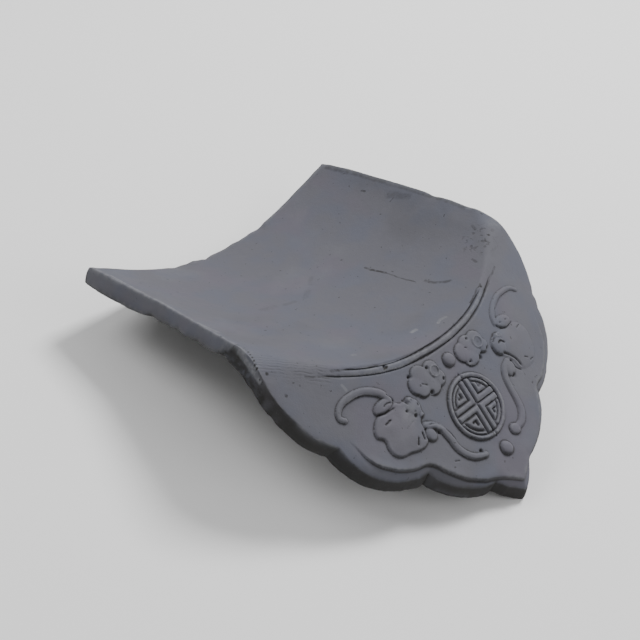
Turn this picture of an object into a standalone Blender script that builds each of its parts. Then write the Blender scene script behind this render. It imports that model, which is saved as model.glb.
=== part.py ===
"""Eaves drip tile of grey fired clay: a tapered, troughed pan whose front edge
turns down into a lobed plate with moulded ornament.

It is worked out in the roof frame first: X across, Y up the slope from the
crease, Z up out of the trough, with the origin at the lowest point of the
crease. Ornament is drawn flat on the plate (across, up the face, out of the
face) and laid on it. At the end the tile is set down as it stands loose, on
its drip tip and the underside of its back edge.
"""
import math

import bmesh
import bpy
import numpy as np
from mathutils import Vector

# Pan, in metres.
FRONT_WIDTH = 0.190
BACK_WIDTH = 0.176
FRONT_DEPTH = 0.0262
BACK_DEPTH = 0.0279
PAN_LENGTH = 0.166
PAN_THICKNESS = 0.0094

# Drip plate: how far its face leans back from upright, and how its sides
# sweep back from a flat middle.
PLATE_LEAN = math.radians(41.0)
PLATE_THICKNESS = 0.010
PLATE_DRAFT = 0.0035
SWEEP_SLOPE = 0.135
SWEEP_START = 0.035
SWEEP_BLEND = 0.006

# Nose between pan and plate: crisp in the middle, broad at the shoulders.
NOSE_CRISP = 0.0008
NOSE_BROAD = 0.013
NOSE_POWER = 5
HEEL_FILLET = 0.010

# Corners of the plate's outline (across, up the face), and how far each
# stretch between two corners bows outwards.
TIP = (0.0, -0.0905)
DROP_CUSP = (0.0121, -0.0783)
LOBE_CUSP = (0.0444, -0.0533)
SIDE_CUSP = (0.0805, -0.0180)
DROP_BOW = 0.0006
LOBE_BOW = 0.0049
SIDE_BOW = 0.0095
SHOULDER_BOW = 0.0080
DROP_STEPS = 3
LOBE_STEPS = 7
SIDE_STEPS = 8
SHOULDER_STEPS = 5
SIDE_POWER = 6
# The outline point where the loft's lower side turns into its right side, and
# how many points that side has.
TURN = DROP_STEPS + LOBE_STEPS + 5
SIDE_POINTS = DROP_STEPS + LOBE_STEPS + SIDE_STEPS + SHOULDER_STEPS - TURN + 1
WELD = 1e-6

# Sunk rim line and the lip outside it; the lip is wider along the side lobes.
RIM_INSET = 0.0033
RIM_SPREAD = 0.9
RIM_HALF = 0.0009
RIM_DEPTH = 0.0010
LIP_FALL = 0.0016

# Beads and ornament.
CREASE_BEAD = 0.0021
CREASE_BEAD_DROP = 0.0026
CREASE_BEAD_REACH = 0.80
CREASE_BEAD_SINK = 0.0006
CREASE_BEAD_STEPS = 28
CREASE_BEAD_FADE = 0.55
PEARL_RADIUS = 0.0045
PEARL_HEIGHT = 0.0022
PEARL_TALL = 1.12
TOP_PEARL = (0.0005, -0.0125)
LOW_PEARL = (0.0015, -0.0655)
ROUNDEL = (0.0, -0.0405)
ROUNDEL_RADIUS = 0.0180
RING_WIDTH = 0.0034
FRET_BAR = 0.0021
FRET_GAP = 0.0011
RELIEF = 0.0015
CROSS_SHARE = 0.93
HOOK_SHARE = 0.87
PIP_SHARE = 0.80
HOOK_REACH = 0.74
PIP_REACH = 0.79
PIP_STRETCH = 1.3
BLOSSOMS = (-0.0193, 0.0180)
BLOSSOM_HEIGHT = -0.0145
PETAL_RADIUS = 0.0056
PETAL_SLIM = 0.85
PETAL_RING = 0.0060
RING_STRETCH = 1.05
HEART_RISE = 1.1
BUTTON_RADIUS = 0.0040
BUTTON_WIDTH = 0.0018
BUTTON_LIFT = 0.0012
BUTTON_RISE = 1.5
WING_HEIGHT = 0.0017
WING_EDGE = 0.0006
TAIL_RADIUS = 0.0023

# Wear where the loose tile stands.
GROUND_WEAR = 0.0005

PAN_ROWS = 4
NOSE_ROWS = 4
CLAY = (0.175, 0.180, 0.195, 1.0)

LEAN_SIN = math.sin(PLATE_LEAN)
LEAN_COS = math.cos(PLATE_LEAN)


def sweep(across):
    """How far the plate's face lies behind its flat middle."""
    past = (np.abs(across) - SWEEP_START) / SWEEP_BLEND
    return -SWEEP_SLOPE * SWEEP_BLEND * np.logaddexp(0.0, past)


def on_plate(across, up, out=0.0):
    """A point of the plate, from its place on the face, in the roof frame."""
    lift = sweep(across) + out
    return np.array((across, up * LEAN_SIN - lift * LEAN_COS, up * LEAN_COS + lift * LEAN_SIN))


def pan_section(y):
    """Half width, depth, radius and half angle of the trough at y."""
    share = y / PAN_LENGTH
    half = (FRONT_WIDTH + (BACK_WIDTH - FRONT_WIDTH) * share) / 2
    depth = FRONT_DEPTH + (BACK_DEPTH - FRONT_DEPTH) * share
    radius = (half * half + depth * depth) / (2 * depth)
    return half, depth, radius, math.asin(half / radius)


EDGE_ANGLE = pan_section(PAN_LENGTH / 2)[3]


def pan_top(a, y):
    """Point of the trough's surface; a runs from -1 to 1 across it."""
    _, _, radius, angle = pan_section(y)
    return np.array((radius * math.sin(a * angle), y, radius * (1 - math.cos(a * angle))))


def pan_under(a, y):
    """Point of the underside, whose long edges are cut flat."""
    half, depth, radius, _ = pan_section(y)
    outer = radius + PAN_THICKNESS
    across, down = math.sin(EDGE_ANGLE), math.cos(EDGE_ANGLE)
    drop = radius - depth
    along = half * across + drop * down
    step = -along + math.sqrt(along * along + outer * outer - half * half - drop * drop)
    angle = math.atan2(half + step * across, drop + step * down)
    return np.array((outer * math.sin(a * angle), y, radius - outer * math.cos(a * angle)))


def meeting(surface, a, out):
    """Where the line a of a pan surface runs into the plate's face or back."""
    y = 0.0
    for _ in range(40):
        point = surface(a, y)
        gap = -point[1] * LEAN_COS + point[2] * LEAN_SIN - sweep(point[0]) - out
        y += gap / LEAN_COS
    return surface(a, y)


def face_place(point):
    """Across and up-the-face place of a point in the roof frame."""
    return np.array((point[0], point[1] * LEAN_SIN + point[2] * LEAN_COS))


def bow(start, end, rise, shares):
    """Points at shares of an arc from start to end, bowed out to its right."""
    start, end = np.array(start), np.array(end)
    chord = end - start
    length = math.hypot(*chord)
    side = np.array((chord[1], -chord[0])) / length
    radius = (length * length / 4 + rise * rise) / (2 * rise)
    half = math.asin(length / 2 / radius)
    points = []
    for turn in half * (2 * np.asarray(shares) - 1):
        along = (math.sin(turn) * radius / length + 0.5) * chord
        points.append(start + along + side * (radius * math.cos(turn) - radius + rise))
    return points


def even(steps):
    return np.linspace(0, 1, steps + 1)


def outward(points, i):
    """Unit direction out of an outline that runs from the tip up its right side."""
    before = points[max(i - 1, 0)]
    after = points[min(i + 1, len(points) - 1)]
    along = (after - before) / math.hypot(*(after - before))
    return np.array((along[1], -along[0]))


def grown(points, out):
    """An outline moved outwards, its first point kept on the middle line."""
    outs = np.broadcast_to(out, len(points))
    moved = [point + outward(points, i) * outs[i] for i, point in enumerate(points)]
    first = (points[1] - points[0]) / math.hypot(*(points[1] - points[0]))
    moved[0] = points[0] - np.array((0.0, outs[0] / first[0]))
    return moved


def outline(surface, out, setback, draft):
    """Right half of the plate's outline, from the tip up to the nose."""
    points = bow(TIP, DROP_CUSP, DROP_BOW, even(DROP_STEPS))
    points += bow(DROP_CUSP, LOBE_CUSP, LOBE_BOW, even(LOBE_STEPS))[1:]
    points += bow(LOBE_CUSP, SIDE_CUSP, SIDE_BOW, even(SIDE_STEPS))[1:]
    points = grown(points, draft)
    corner = face_place(meeting(surface, 1.0, out))
    reach = 1 - setback / math.hypot(*(corner - points[-1]))
    return points + bow(points[-1], corner, SHOULDER_BOW, even(SHOULDER_STEPS) * reach)[1:]


def run_shares(points):
    """Place of each point along a run, from 0 to 1."""
    steps = [math.hypot(*(after - before)) for before, after in zip(points, points[1:])]
    run = np.concatenate(([0.0], np.cumsum(steps)))
    return run / run[-1]


def rounded(start, corner, end):
    """Points strictly between start and end, round the inside of a corner."""
    return [start * (1 - t) ** 2 + corner * 2 * t * (1 - t) + end * t * t for t in even(NOSE_ROWS)[1:-1]]


def skin(surface, out, setbacks, edge):
    """Lines of points over the right half of one skin of the tile.

    Each line runs from the back edge over the nose and down the plate to one
    point of the outline, up to the turn. The last line follows the rest of
    the outline, which is the plate's side.
    """
    side = edge[TURN:][::-1]
    down = run_shares(side)
    lines = []
    for a, setback, end in zip(run_shares(edge[:TURN + 1]), setbacks, edge):
        corner = meeting(surface, a, out)
        pan = [surface(a, y) for y in np.linspace(PAN_LENGTH, corner[1] + setback, PAN_ROWS)]
        top = face_place(corner)
        start = top + (end - top) * setback / math.hypot(*(end - top))
        places = []
        for t, spot in zip(down, side):
            drift = (spot - side[0] - (side[-1] - side[0]) * t) * a ** SIDE_POWER
            places.append(start + (end - start) * t + drift)
        if len(lines) == TURN:
            places = side
        plate = [on_plate(*place, out) for place in places]
        lines.append(pan + rounded(pan[-1], corner, plate[0]) + plate)
    return lines


def lip_insets(edge):
    """How far in from the outline the rim line runs: widest on the side lobe."""
    past = np.clip((np.array(edge)[:, 0] - LOBE_CUSP[0]) / (SIDE_CUSP[0] - LOBE_CUSP[0]), 0, 1)
    inset = RIM_INSET * (1 + RIM_SPREAD * past)
    inset[-SHOULDER_STEPS - 1:] *= np.linspace(1, 0, SHOULDER_STEPS + 1)
    fade = np.ones(len(edge))
    fade[TURN:] = np.clip(np.linspace(1, -1, len(edge) - TURN), 0, 1)
    return inset, fade


def quads(mesh, lines):
    """Faces between neighbouring lines of points."""
    verts = [[mesh.verts.new(point) for point in line] for line in lines]
    for one, other in zip(verts, verts[1:]):
        for j in range(len(one) - 1):
            mesh.faces.new((one[j], one[j + 1], other[j + 1], other[j]))


def build_body():
    """Right half of the pan and its turned-down plate, open at the middle."""
    shares = run_shares(outline(pan_top, 0.0, NOSE_BROAD, 0.0)[:TURN + 1])
    noses = NOSE_CRISP + (NOSE_BROAD - NOSE_CRISP) * shares ** NOSE_POWER
    heels = np.full(TURN + 1, HEEL_FILLET)
    mesh = bmesh.new()
    rims = []
    ends = []
    for surface, setbacks, draft, depth, fall, groove in (
        (pan_top, noses, 0.0, 0.0, LIP_FALL, RIM_DEPTH),
        (pan_under, heels, PLATE_DRAFT, -PLATE_THICKNESS, 0.0, 0.0),
    ):
        edge = outline(surface, depth, setbacks[-1], draft)
        inset, fade = lip_insets(edge)
        half = RIM_HALF * inset / RIM_INSET
        inner = grown(edge, -inset - half)
        lines = skin(surface, depth, setbacks, inner)
        quads(mesh, lines)
        rows = [[on_plate(*spot, depth) for spot in inner]]
        level = np.minimum(1, inset / RIM_INSET)
        for width, lift in ((inset, -groove * fade), (inset - half, 0 * fade), (0 * inset, -fall * level)):
            places = zip(grown(edge, -width), lift)
            rows.append([on_plate(*spot, depth + rise) for spot, rise in places])
        quads(mesh, rows)
        rims.append(rows[-1])
        ends.append((lines[-1][:-SIDE_POINTS + 1], [line[0] for line in lines]))
    quads(mesh, rims)
    for top, under in zip(*ends):
        quads(mesh, (top, under))
    bmesh.ops.remove_doubles(mesh, verts=mesh.verts, dist=WELD)
    bmesh.ops.triangulate(mesh, faces=mesh.faces)
    bmesh.ops.recalc_face_normals(mesh, faces=mesh.faces)
    data = bpy.data.meshes.new("drip_tile")
    mesh.to_mesh(data)
    mesh.free()
    return data


def new_object(name, data, collection):
    obj = bpy.data.objects.new(name, data)
    collection.objects.link(obj)
    return obj


def helper(name, data, collection):
    """A raised or sunk form that is joined to the body and not shown itself."""
    obj = new_object(name, data, collection)
    obj.hide_render = True
    obj.display_type = "WIRE"
    return obj


def lay_on_plate(data, place=(0.0, 0.0), turn=0.0, mirror=1.0):
    """Carry a mesh from flat plate axes, at a place on it, to the tile."""
    cos, sin = math.cos(turn), math.sin(turn)
    for vertex in data.vertices:
        x, y, z = vertex.co
        across = place[0] + x * cos - y * sin
        up = place[1] + x * sin + y * cos
        vertex.co = on_plate(mirror * across, up, z)
    if mirror < 0:
        data.flip_normals()
    return data


def smooth_path(points, steps, closed=False):
    """Even points on a smooth curve through the given ones."""
    points = np.array(points, dtype=float)
    count = len(points)
    spans = count if closed else count - 1
    path = []
    for i in range(spans):
        if closed:
            a, b, c, d = (points[(i + k) % count] for k in (-1, 0, 1, 2))
        else:
            b, c = points[i], points[i + 1]
            a = points[i - 1] if i else 2 * b - c
            d = points[i + 2] if i + 2 < count else 2 * c - b
        for t in np.arange(steps) / steps:
            path.append(0.5 * (2 * b + (c - a) * t + (2 * a - 5 * b + 4 * c - d) * t * t
                               + (3 * b - a - 3 * c + d) * t ** 3))
    if not closed:
        path.append(points[-1])
    return path


def curve_mesh(curve):
    """Closed mesh of a curve, with its caps welded on."""
    temp = bpy.data.objects.new("curve", curve)
    bpy.context.scene.collection.objects.link(temp)
    graph = bpy.context.evaluated_depsgraph_get()
    data = bpy.data.meshes.new_from_object(temp.evaluated_get(graph))
    bpy.data.objects.remove(temp)
    mesh = bmesh.new()
    mesh.from_mesh(data)
    bmesh.ops.remove_doubles(mesh, verts=mesh.verts, dist=1e-5)
    bmesh.ops.recalc_face_normals(mesh, faces=mesh.faces)
    mesh.to_mesh(data)
    mesh.free()
    return data


def tube(points, radii, height=0.0):
    """Round bar along points on the face; its radius follows radii."""
    curve = bpy.data.curves.new("tube", "CURVE")
    curve.dimensions = "3D"
    curve.bevel_depth = 1.0
    curve.bevel_resolution = 1
    curve.use_fill_caps = True
    spline = curve.splines.new("POLY")
    spline.points.add(len(points) - 1)
    for spot, place, radius in zip(spline.points, points, radii):
        spot.co = (place[0], place[1], height, 1.0)
        spot.radius = radius
    return curve_mesh(curve)


def slab(points, height, edge):
    """Flat form of a closed outline that stands up to height, edges eased."""
    curve = bpy.data.curves.new("slab", "CURVE")
    curve.dimensions = "2D"
    curve.fill_mode = "BOTH"
    curve.extrude = height - edge
    curve.bevel_depth = edge
    curve.bevel_resolution = 0
    curve.offset = -edge
    spline = curve.splines.new("POLY")
    spline.points.add(len(points) - 1)
    for spot, place in zip(spline.points, points):
        spot.co = (place[0], place[1], 0.0, 1.0)
    spline.use_cyclic_u = True
    return curve_mesh(curve)


def dome(half_width, half_height, rise, segments=12):
    """Rounded boss on a place of the face."""
    mesh = bmesh.new()
    bmesh.ops.create_uvsphere(mesh, u_segments=segments, v_segments=6, radius=1.0)
    bmesh.ops.scale(mesh, vec=Vector((half_width, half_height, rise)), verts=mesh.verts)
    data = bpy.data.meshes.new("dome")
    mesh.to_mesh(data)
    mesh.free()
    return data


def block(length, width, height):
    """Square bar, sunk into the face as deep as it stands out."""
    mesh = bmesh.new()
    bmesh.ops.create_cube(mesh, size=1.0)
    bmesh.ops.scale(mesh, vec=Vector((length, width, 2 * height)), verts=mesh.verts)
    data = bpy.data.meshes.new("block")
    mesh.to_mesh(data)
    mesh.free()
    return data


def ring(radius, width, rise, segments=40):
    """Round ring that stands out by rise; its width is measured on the face."""
    curve = bpy.data.curves.new("ring", "CURVE")
    curve.dimensions = "3D"
    curve.bevel_depth = width / 2
    curve.bevel_resolution = 1
    spline = curve.splines.new("POLY")
    spline.points.add(segments - 1)
    for i, spot in enumerate(spline.points):
        turn = 2 * math.pi * i / segments
        spot.co = (radius * math.cos(turn), radius * math.sin(turn), 0.0, 1.0)
    spline.use_cyclic_u = True
    data = curve_mesh(curve)
    for vertex in data.vertices:
        vertex.co.z *= 2 * rise / width
    return data


def build_roundel(add):
    """Ring round a key fret: a cross of double bars, a hook and a pip in each quarter."""
    pitch = FRET_BAR + FRET_GAP
    inner = ROUNDEL_RADIUS - RING_WIDTH
    hook = 1.5 * pitch

    def bar(name, x, y, length, height, quarter, turn=0.0):
        spin = quarter * math.pi / 2
        across = ROUNDEL[0] + x * math.cos(spin) - y * math.sin(spin)
        up = ROUNDEL[1] + x * math.sin(spin) + y * math.cos(spin)
        add(name, lay_on_plate(block(length, FRET_BAR, height), (across, up), spin + turn))

    add("roundel_ring", lay_on_plate(ring(ROUNDEL_RADIUS - RING_WIDTH / 2, RING_WIDTH, RELIEF), ROUNDEL))
    for quarter in range(4):
        bar("fret_bar", inner / 2, pitch / 2, inner + RING_WIDTH / 2, RELIEF * CROSS_SHARE, quarter)
        bar("fret_bar", inner / 2, -pitch / 2, inner + RING_WIDTH / 2, RELIEF * CROSS_SHARE, quarter)
        start, end = hook - FRET_BAR / 2, inner * HOOK_REACH
        bar("fret_hook", (start + end) / 2, hook, end - start, RELIEF * HOOK_SHARE, quarter)
        bar("fret_hook", hook, (hook + end) / 2, end - hook, RELIEF * PIP_SHARE, quarter, math.pi / 2)
        pip = inner * PIP_REACH * math.sqrt(0.5)
        bar("fret_pip", pip, pip, PIP_STRETCH * FRET_BAR, RELIEF * PIP_SHARE, quarter, math.pi / 4)


def build_blossom(add, across):
    """Five-petalled blossom with a raised button beside its middle."""
    for i in range(5):
        turn = math.radians(18 + 72 * i)
        reach = (RING_STRETCH * PETAL_RING * math.cos(turn), PETAL_RING * math.sin(turn))
        place = (across + reach[0], BLOSSOM_HEIGHT + reach[1])
        add("petal", lay_on_plate(dome(PETAL_RADIUS, PETAL_RADIUS * PETAL_SLIM, RELIEF), place, turn))
    heart = dome(PETAL_RADIUS, PETAL_RADIUS, RELIEF * HEART_RISE)
    add("heart", lay_on_plate(heart, (across, BLOSSOM_HEIGHT)))
    button = ring(BUTTON_RADIUS - BUTTON_WIDTH / 2, BUTTON_WIDTH, RELIEF * BUTTON_RISE, 14)
    add("button", lay_on_plate(button, (across + PETAL_RING, BLOSSOM_HEIGHT + BUTTON_LIFT)))


# The beast's places on the face, drawn once for its right side.
WING_OUTLINE = (
    (0.0552, -0.0122), (0.0510, -0.0100), (0.0462, -0.0104), (0.0430, -0.0132), (0.0385, -0.0162),
    (0.0335, -0.0178), (0.0312, -0.0225), (0.0330, -0.0282), (0.0362, -0.0325), (0.0372, -0.0392),
    (0.0410, -0.0420), (0.0458, -0.0416), (0.0505, -0.0400), (0.0556, -0.0392), (0.0588, -0.0350),
    (0.0594, -0.0305), (0.0580, -0.0270), (0.0612, -0.0235), (0.0600, -0.0185), (0.0565, -0.0156),
)
UPPER_TAIL = (
    (0.0455, -0.0105), (0.0478, -0.0060), (0.0525, -0.0022), (0.0580, -0.0002), (0.0640, 0.0002),
    (0.0690, -0.0014), (0.0716, -0.0050), (0.0704, -0.0078),
)
LOWER_TAIL = (
    (0.0318, -0.0350), (0.0278, -0.0395), (0.0262, -0.0455), (0.0248, -0.0515), (0.0218, -0.0570),
    (0.0175, -0.0613), (0.0128, -0.0630),
)
TAIL_BALL = 0.0030
# Rounded forms on the wings: place, half sizes with the rise last, turn.
BEAST_FORMS = (
    ("wing_swell", (0.0505, -0.0275), (0.0080, 0.0092, 0.0024), 0.35),
    ("upper_fold", (0.0492, -0.0134), (0.0052, 0.0024, 0.0026), 0.1),
    ("head", (0.0368, -0.0228), (0.0058, 0.0052, 0.0030), 0.5),
    ("ear", (0.0352, -0.0172), (0.0024, 0.0018, 0.0024), 0.3),
    ("lower_fold", (0.0428, -0.0382), (0.0026, 0.0040, 0.0026), 0.5),
    ("foot", (0.0334, -0.0378), (0.0040, 0.0044, 0.0022), 0.4),
)


def build_bat(add, side):
    """Winged beast that faces the roundel, with a curling tail at each end."""
    wings = smooth_path(WING_OUTLINE, 2, closed=True)
    add("wings", lay_on_plate(slab(wings, WING_HEIGHT, WING_EDGE), mirror=side))
    for name, place, size, turn in BEAST_FORMS:
        add(name, lay_on_plate(dome(*size), place, turn, side))
    for name, points, end in (("upper_tail", UPPER_TAIL, 0.7), ("lower_tail", LOWER_TAIL, 0.9)):
        path = smooth_path(points, 3)
        radii = np.linspace(1.0, end, len(path)) * TAIL_RADIUS
        add(name, lay_on_plate(tube(path, radii), mirror=side))
    ball = dome(TAIL_BALL, TAIL_BALL, TAIL_RADIUS, 10)
    add("tail_ball", lay_on_plate(ball, LOWER_TAIL[-1], 0.0, side))


def crease_path(drop, lines):
    """Places on the face that follow the crease at a drop below it."""
    places = []
    for a in lines:
        place = face_place(meeting(pan_top, a, 0.0))
        places.append((place[0], place[1] - drop))
    return places


def build_relief(raised):
    """All the forms that stand out of the plate's face."""
    def add(name, data):
        helper(name, data, raised)

    shares = 2 * even(CREASE_BEAD_STEPS) - 1
    bead = crease_path(CREASE_BEAD_DROP, CREASE_BEAD_REACH * shares)
    radii = CREASE_BEAD * (1.0 - CREASE_BEAD_FADE * shares ** 6)
    add("crease_bead", lay_on_plate(tube(bead, radii, -CREASE_BEAD_SINK)))
    for place, tall in ((TOP_PEARL, 1.0), (LOW_PEARL, PEARL_TALL)):
        add("pearl", lay_on_plate(dome(PEARL_RADIUS, PEARL_RADIUS * tall, PEARL_HEIGHT), place))
    build_roundel(add)
    for across in BLOSSOMS:
        build_blossom(add, across)
    for side in (-1.0, 1.0):
        build_bat(add, side)


def standing_tilt():
    """Turn about X that puts the drip tip and the back edge on one level."""
    back = pan_under(0.0, PAN_LENGTH)
    edge = outline(pan_under, -PLATE_THICKNESS, HEEL_FILLET, PLATE_DRAFT)
    tips = (on_plate(*edge[0], -PLATE_THICKNESS), on_plate(*TIP, -LIP_FALL))
    return max(math.atan2(back[2] - tip[2], back[1] - tip[1]) for tip in tips)


def clay_material():
    material = bpy.data.materials.new("grey_clay")
    material.use_nodes = True
    shader = material.node_tree.nodes["Principled BSDF"]
    shader.inputs["Base Color"].default_value = CLAY
    shader.inputs["Roughness"].default_value = 0.85
    shader.inputs["Metallic"].default_value = 0.0
    return material


def join_with(obj, operation, collection):
    cut = obj.modifiers.new(operation.lower(), "BOOLEAN")
    cut.operation = operation
    cut.operand_type = "COLLECTION"
    cut.collection = collection
    cut.solver = "EXACT"


def settle(obj, others, ground):
    """Set the tile down and move its origin under the middle of its box."""
    obj.rotation_euler.x = -standing_tilt()
    bpy.context.view_layer.update()
    corners = np.array([obj.matrix_world @ v.co for v in obj.data.vertices])
    low, high = corners.min(axis=0), corners.max(axis=0)
    obj.location = (0.0, -(low[1] + high[1]) / 2, -low[2] - GROUND_WEAR)
    for other in others:
        other.rotation_euler = obj.rotation_euler
        other.location = obj.location
    size = 2 * float(max(high - low))
    mesh = bmesh.new()
    bmesh.ops.create_cube(mesh, size=size)
    bmesh.ops.translate(mesh, vec=Vector((0, 0, -size / 2)), verts=mesh.verts)
    data = bpy.data.meshes.new("ground")
    mesh.to_mesh(data)
    mesh.free()
    helper("ground", data, ground)


def main():
    for obj in list(bpy.data.objects):
        bpy.data.objects.remove(obj)
    names = ("drip_tile_parts", "raised_forms", "ground_wear")
    parts, raised, ground = (bpy.data.collections.new(name) for name in names)
    for collection in (parts, raised, ground):
        bpy.context.scene.collection.children.link(collection)
    tile = new_object("drip_tile", build_body(), parts)
    tile.data.materials.append(clay_material())
    whole = tile.modifiers.new("both_sides", "MIRROR")
    whole.merge_threshold = WELD
    build_relief(raised)
    settle(tile, raised.objects, ground)
    join_with(tile, "UNION", raised)
    join_with(tile, "DIFFERENCE", ground)


main()
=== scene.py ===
"""Looks of an eaves drip tile: grey fired clay, pressed in a mould, worn and unglazed.

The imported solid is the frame. The tile is moulded once more around it with its finer
relief, in the axes that the solid was worked out in: X across, Y up the slope from the
crease, Z up out of the trough. A place on the plate is given as across and up its face,
and the relief is drawn in millimetres. The piece is then set down where the solid stands.
"""
import math

import bpy
import numpy as np
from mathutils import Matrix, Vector, noise
from mathutils.geometry import delaunay_2d_cdt


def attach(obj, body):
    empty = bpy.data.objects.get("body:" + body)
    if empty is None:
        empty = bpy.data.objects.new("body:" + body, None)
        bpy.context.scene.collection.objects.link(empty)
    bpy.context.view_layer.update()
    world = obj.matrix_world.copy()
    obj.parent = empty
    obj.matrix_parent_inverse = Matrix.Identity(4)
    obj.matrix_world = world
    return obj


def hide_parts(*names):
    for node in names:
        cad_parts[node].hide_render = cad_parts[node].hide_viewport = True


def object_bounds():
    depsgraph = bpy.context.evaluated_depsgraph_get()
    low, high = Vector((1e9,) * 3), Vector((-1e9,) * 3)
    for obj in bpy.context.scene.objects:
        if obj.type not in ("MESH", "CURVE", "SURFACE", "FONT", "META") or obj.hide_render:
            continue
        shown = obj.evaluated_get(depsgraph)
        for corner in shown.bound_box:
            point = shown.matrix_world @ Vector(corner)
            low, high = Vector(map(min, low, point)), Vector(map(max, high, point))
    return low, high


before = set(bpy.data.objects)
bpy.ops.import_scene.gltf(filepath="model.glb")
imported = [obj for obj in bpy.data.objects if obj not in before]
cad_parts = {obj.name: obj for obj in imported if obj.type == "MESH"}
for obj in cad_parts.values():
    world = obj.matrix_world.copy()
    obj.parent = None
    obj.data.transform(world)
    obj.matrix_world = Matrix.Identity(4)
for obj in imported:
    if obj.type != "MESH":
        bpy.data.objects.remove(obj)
CAD_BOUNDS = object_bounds()
NODE = "drip_tile"

bl_info = {
    "name": "Drip tile",
    "version": (1, 0, 0),
    "blender": (4, 5, 0),
    "location": "3D View > Sidebar > Drip tile",
    "description": "Moulds a grey clay eaves tile around its packed solid",
    "category": "Object",
}

MM = 0.001

# Corners of the plate's right half, in millimetres across and up its face.
TIP = (0.0, -90.5)
DROP_CUSP = (12.1, -78.3)
LOBE_CUSP = (44.4, -53.3)
SIDE_CUSP = (80.5, -18.0)
# Arcs of the plate's right side, from the tip up: start, end, how far it bows out, steps.
OUTLINE = (
    (TIP, DROP_CUSP, 0.6, 28),
    (DROP_CUSP, LOBE_CUSP, 4.9, 70),
    (LOBE_CUSP, SIDE_CUSP, 9.5, 86),
)
SHOULDER_BOW = 8.0
SHOULDER_STEPS = 72

# How the outline turns its corners where it grows by the draft, and grows more at the tip.
GROWTH_SPAN = 8
TIP_REACH = 0.43
TIP_SPAN = 5.0

# Rolled lip outside the rim line, in millimetres: its width and fall, and where up the face it
# starts to gain them and over how much.
LIP_ROUND = 6.5
LIP_FALL = 2.7
LIP_TOP = -18.0
LIP_REACH = 30.0

# How the face sweeps back at its sides: its slope, where it starts and how softly, in metres.
SWEEP_SLOPE = 0.135
SWEEP_START = 0.035
SWEEP_BLEND = 0.006

# How suddenly the nose broadens and leans towards the shoulders, and the turns that find
# where the trough runs into the plate.
NOSE_POWER = 5
LEAN_POWER = 4
MEETING_TURNS = 40

# Mesh: lines across the tile and how they crowd to its sides, rows round the nose and down
# the long edges, spacing of the trough and of the plain sides, rows through the clay, and
# the rise between two neighbours that makes the relief's mesh fine, in millimetres.
COLUMNS = 340
COLUMN_CROWD = 1.15
NOSE_ROWS = 13
EDGE_STEPS = 130
PAN_STEP = 0.00135
BACK_STEP = 0.0030
WALL_SHARES = (0.0, 0.05, 0.13, 0.27, 0.5, 0.73, 0.87, 0.95, 1.0)
RELIEF_CHANGE = 0.085
WELD = 1e-6
SMOOTH_ANGLE = math.radians(50)

# Wear and painted shade: how often arrises are worn down, surroundings evened out to tell what stands
# proud and what lies in painted shade, and the painted shade below spread; the step of one turn; swells
# by scale and rise; the back's round.
WEAR_TURNS = 2
EASE_TURNS = 7
UNDER_TURNS = 2
EASE = 0.6
UNEVENNESS = ((35.0, 0.00022), (160.0, 0.00005), (520.0, 0.000025))
BACK_ROUNDING = 0.0026
EDGE_RAGGED = 4.0

# Step where the plate was joined to the pan, down the left side.
JOINT_PLACE = 0.0070
JOINT_HEIGHT = 0.0680
JOINT_SLANT = 0.95
JOINT_SLANTED = 0.011
JOINT_REACH = 0.036
JOINT_DEPTH = 0.0015
JOINT_SIDE = 93.5

# Lower arris of the plate's right half, in millimetres where the tile stands.
RIGHT_ARRIS = (
    (79, -60, 41), (74, -72, 32), (60, -83, 27), (47, -88.5, 23), (36, -98, 22), (27, -104.5, 18.5),
    (15, -110, 15.5),
)
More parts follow.
